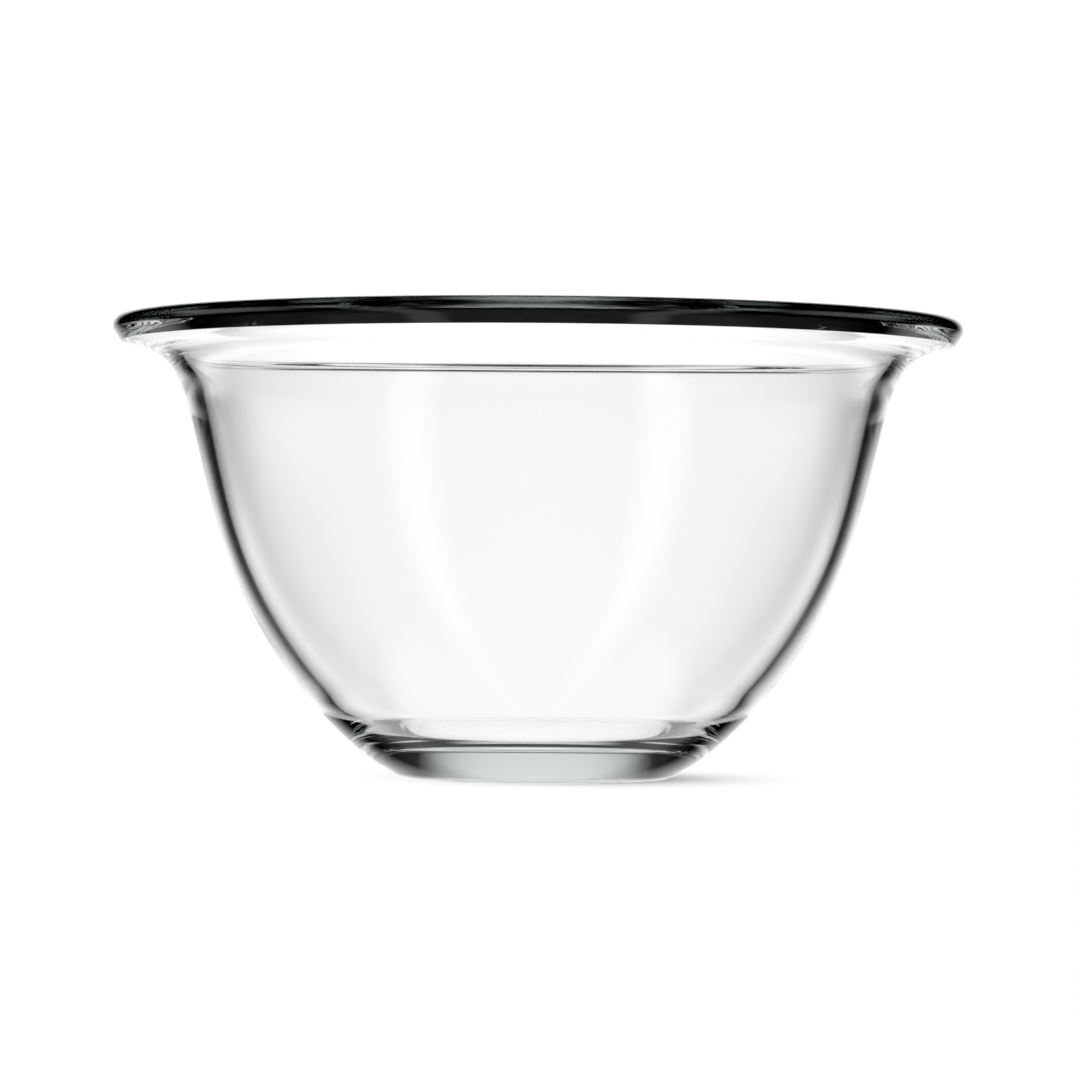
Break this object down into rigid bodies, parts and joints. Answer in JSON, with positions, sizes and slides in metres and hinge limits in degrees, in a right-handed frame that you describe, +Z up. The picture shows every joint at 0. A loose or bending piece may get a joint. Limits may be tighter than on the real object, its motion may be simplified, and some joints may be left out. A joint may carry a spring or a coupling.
{
  "type": "mixing bowl",
  "caption": "Deep clear glass mixing bowl with a wide turned-out lip, a rounded rim bead and a small round foot, for mixing dough, batter and cream.",
  "frame": {"origin": "middle of the foot's flat resting ring, on the table", "axes": "+Z up along the bowl's axis of turning; X and Y lie in the table's plane and are alike on a round bowl"},
  "size_m": [0.23, 0.23, 0.1241],
  "materials": {
    "clear_glass": "clear polished pressed glass with a faint teal tint in its thick sections"
  },
  "bodies": {
    "root": {"glass_bowl": "clear_glass"}
  },
  "joints": []
}
